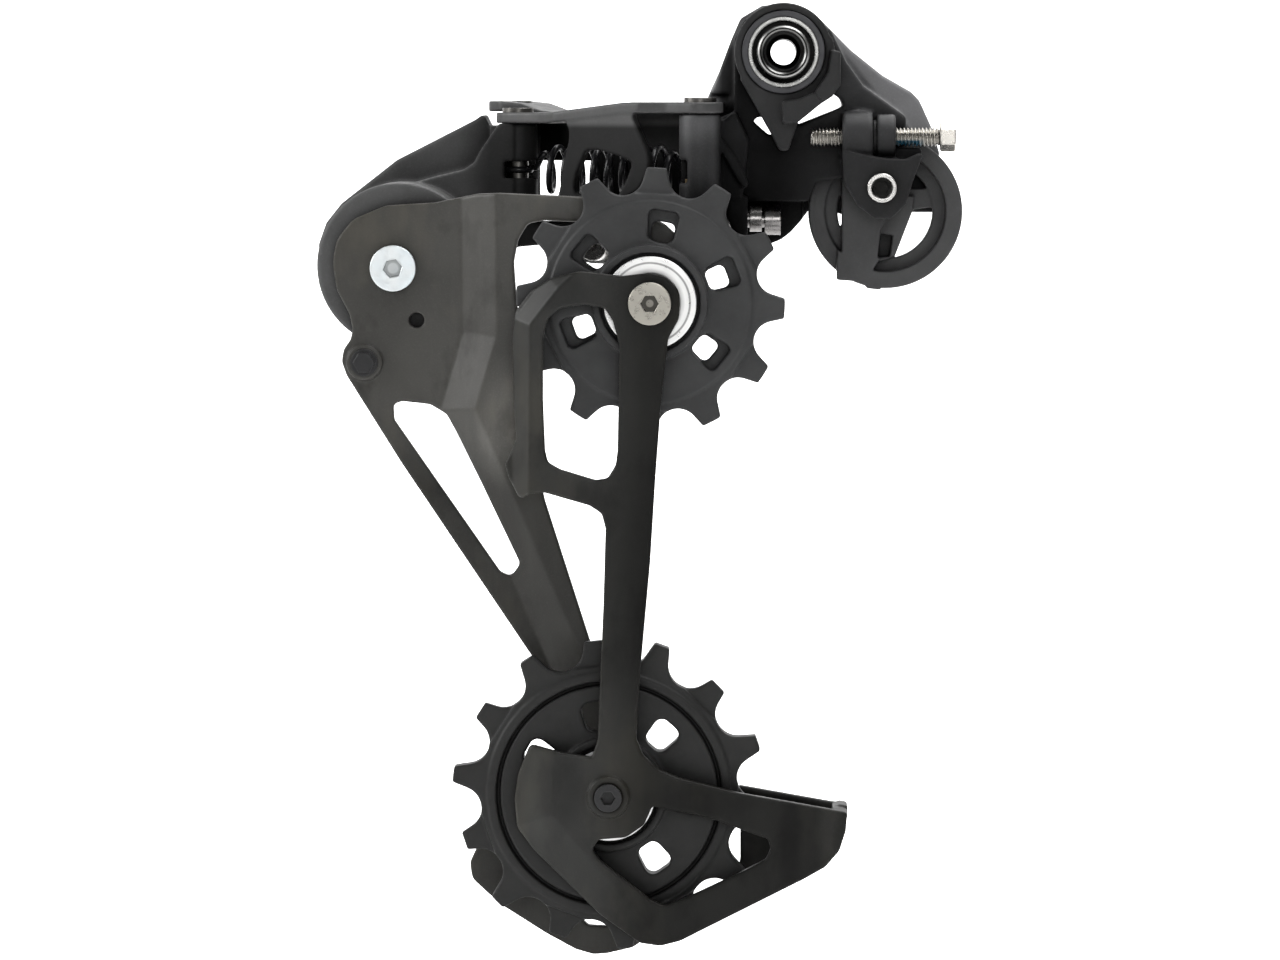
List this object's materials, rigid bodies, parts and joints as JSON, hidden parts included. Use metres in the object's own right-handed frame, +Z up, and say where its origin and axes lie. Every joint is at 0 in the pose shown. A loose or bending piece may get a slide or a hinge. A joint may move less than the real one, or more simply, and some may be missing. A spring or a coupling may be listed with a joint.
{
  "type": "rear bicycle derailleur",
  "caption": "Long cage rear derailleur with slanted link parallelogram, damped chain cage, two toothed guide pulleys and a cable wheel, hung on a threaded mounting bolt.",
  "frame": {"origin": "on the mounting bolt axis, in the plane of the face that seats against the frame hanger", "axes": "+Y along the mounting bolt away from the bicycle, so the bolt's free end points along -Y; +Z up at rest; +X to the rear of the bicycle"},
  "size_m": [0.1244, 0.059, 0.1816],
  "materials": {
    "knuckle_metal": "dark grey satin coating over cast light alloy, fine speckle, worn edges",
    "stamped_plate": "black-brown satin coating on stamped sheet, rubbed lighter on folds",
    "link_metal": "dark satin coating on forged link",
    "bright_bolt": "bright plated steel, turned",
    "zinc_bolt": "white zinc plating with a faint blue tint",
    "black_steel": "black oxide steel",
    "pin_steel": "dark nickel plated pins",
    "sleeve_steel": "turned bright alloy",
    "dark_alloy": "dark anodised alloy",
    "nylon_black": "glass filled nylon, black, moulded",
    "pulley_nylon": "filled nylon, dark grey, moulded with radial facets",
    "spring_wire": "black coated spring wire",
    "bearing_steel": "ground bearing steel",
    "dust_cap": "spun bright steel shield",
    "bronze_bush": "sintered bronze",
    "adjust_screw": "stainless steel, rolled thread"
  },
  "bodies": {
    "mount": {"mounting_bolt": "dark_alloy", "mount_sleeve": "sleeve_steel", "mount_washer_ring": "dark_alloy", "hanger_stop_plate": "stamped_plate"},
    "b_knuckle": {"b_knuckle": "knuckle_metal", "mount_bore_bushing": "nylon_black", "rear_pin_bushings": "bronze_bush", "b_screw_insert": "nylon_black", "limit_screw_sleeves": "nylon_black", "cable_wheel_bolt": "bright_bolt", "cable_wheel_bush": "bronze_bush", "cable_wheel_nut": "black_steel"},
    "hanger_screw": {"b_adjust_screw": "adjust_screw"},
    "high_stop": {"high_limit_screw": "bright_bolt"},
    "low_stop": {"low_limit_screw": "bright_bolt"},
    "cable_wheel": {"cable_wheel": "nylon_black"},
    "inner_link": {"inner_link": "link_metal", "inner_link_rear_pin": "pin_steel", "inner_link_front_pin": "pin_steel", "inner_link_clips": "black_steel", "spring_front_eye": "spring_wire"},
    "outer_link": {"outer_link": "link_metal", "outer_link_rear_pin": "pin_steel", "outer_link_front_pin": "pin_steel", "outer_link_clips": "black_steel", "cable_anchor_bolt": "bright_bolt", "cable_anchor_washer": "sleeve_steel"},
    "spring_rear_end": {"parallelogram_spring": "spring_wire", "spring_rear_hook": "spring_wire"},
    "spring_front_end": {"spring_front_shank": "spring_wire"},
    "p_knuckle": {"p_knuckle_housing": "knuckle_metal", "clutch_cover": "knuckle_metal", "clutch_cover_screws": "black_steel", "front_pin_bushings": "bronze_bush", "pivot_bush": "bronze_bush", "cage_lock_spring": "spring_wire", "clutch_friction_band": "bearing_steel", "clutch_band_screw": "black_steel", "cage_torsion_spring": "spring_wire"},
    "cage_lock": {"cage_lock_button": "nylon_black"},
    "cage": {"cage_axle": "sleeve_steel", "cage_axle_screw": "zinc_bolt", "outer_cage_plate": "stamped_plate", "cage_stop_screw": "black_steel", "inner_cage_plate": "stamped_plate", "upper_pulley_bolt": "bright_bolt", "lower_pulley_bolt": "black_steel", "upper_bearing_inner_ring": "bearing_steel", "lower_bearing_inner_ring": "bearing_steel", "upper_dust_caps": "dust_cap", "lower_dust_caps": "dust_cap", "clutch_roller_bearing": "bearing_steel"},
    "upper_pulley": {"upper_pulley": "pulley_nylon", "upper_bearing_outer_ring": "bearing_steel", "upper_bearing_balls": "bearing_steel"},
    "lower_pulley": {"lower_pulley": "pulley_nylon", "lower_bearing_outer_ring": "bearing_steel", "lower_bearing_balls": "bearing_steel"}
  },
  "joints": [
    {"name": "hanger_swing", "type": "hinge", "parent": "mount", "child": "b_knuckle", "pos_m": [0, 0, 0], "axis": [0, 1, 0], "range_deg": [-16, 4]},
    {"name": "hanger_screw_feed", "type": "slide", "parent": "b_knuckle", "child": "hanger_screw", "axis": [-1, 0, 0], "range_m": [-0.006, 0.0008]},
    {"name": "high_limit_feed", "type": "slide", "parent": "b_knuckle", "child": "high_stop", "axis": [1, 0, 0], "range_m": [0, 0.002]},
    {"name": "low_limit_feed", "type": "slide", "parent": "b_knuckle", "child": "low_stop", "axis": [1, 0, 0], "range_m": [0, 0.002]},
    {"name": "cable_wheel_turn", "type": "hinge", "parent": "b_knuckle", "child": "cable_wheel", "pos_m": [0.01866, 0.0086, -0.02566], "axis": [0, 1, 0], "range_deg": [-6, 6]},
    {"name": "shift_inner_link", "type": "hinge", "parent": "b_knuckle", "child": "inner_link", "pos_m": [-0.0158, -0.004, -0.02], "axis": [0, 0, 1], "range_deg": [0, 59]},
    {"name": "outer_link_swing", "type": "hinge", "parent": "b_knuckle", "child": "outer_link", "pos_m": [-0.0158, 0.01, -0.02], "axis": [0, 0, 1], "range_deg": [-1, 60]},
    {"name": "spring_swing", "type": "hinge", "parent": "b_knuckle", "child": "spring_rear_end", "pos_m": [-0.0158, 0.01, -0.02255], "axis": [0, 0, 1], "range_deg": [-1, 60]},
    {"name": "spring_stretch", "type": "slide", "parent": "spring_rear_end", "child": "spring_front_end", "axis": [-0.9772, 0.2125, 0], "range_m": [-0.001, 0.016]},
    {"name": "p_knuckle_swing", "type": "hinge", "parent": "inner_link", "child": "p_knuckle", "pos_m": [-0.0512, 0.0177, -0.02], "axis": [0, 0, 1], "range_deg": [-60, 1]},
    {"name": "cage_lock_push", "type": "slide", "parent": "p_knuckle", "child": "cage_lock", "axis": [0, 1, 0], "range_m": [-0.0006, 0.0016]},
    {"name": "cage_swing", "type": "hinge", "parent": "p_knuckle", "child": "cage", "pos_m": [-0.07408, 0, -0.04096], "axis": [0, 1, 0], "range_deg": [0, 105]},
    {"name": "upper_pulley_spin", "type": "hinge", "parent": "cage", "child": "upper_pulley", "pos_m": [-0.02498, -0.012, -0.04698], "axis": [0, 1, 0], "continuous": true},
    {"name": "lower_pulley_spin", "type": "hinge", "parent": "cage", "child": "lower_pulley", "pos_m": [-0.03278, -0.012, -0.13988], "axis": [0, 1, 0], "continuous": true}
  ],
  "couplings": [
    {"joint": "outer_link_swing", "follows": "shift_inner_link", "ratio": 1},
    {"joint": "p_knuckle_swing", "follows": "shift_inner_link", "ratio": -1},
    {"joint": "spring_swing", "follows": "shift_inner_link", "ratio": 0.94},
    {"joint": "spring_stretch", "follows": "shift_inner_link", "m_per_rad": 0.0133}
  ]
}
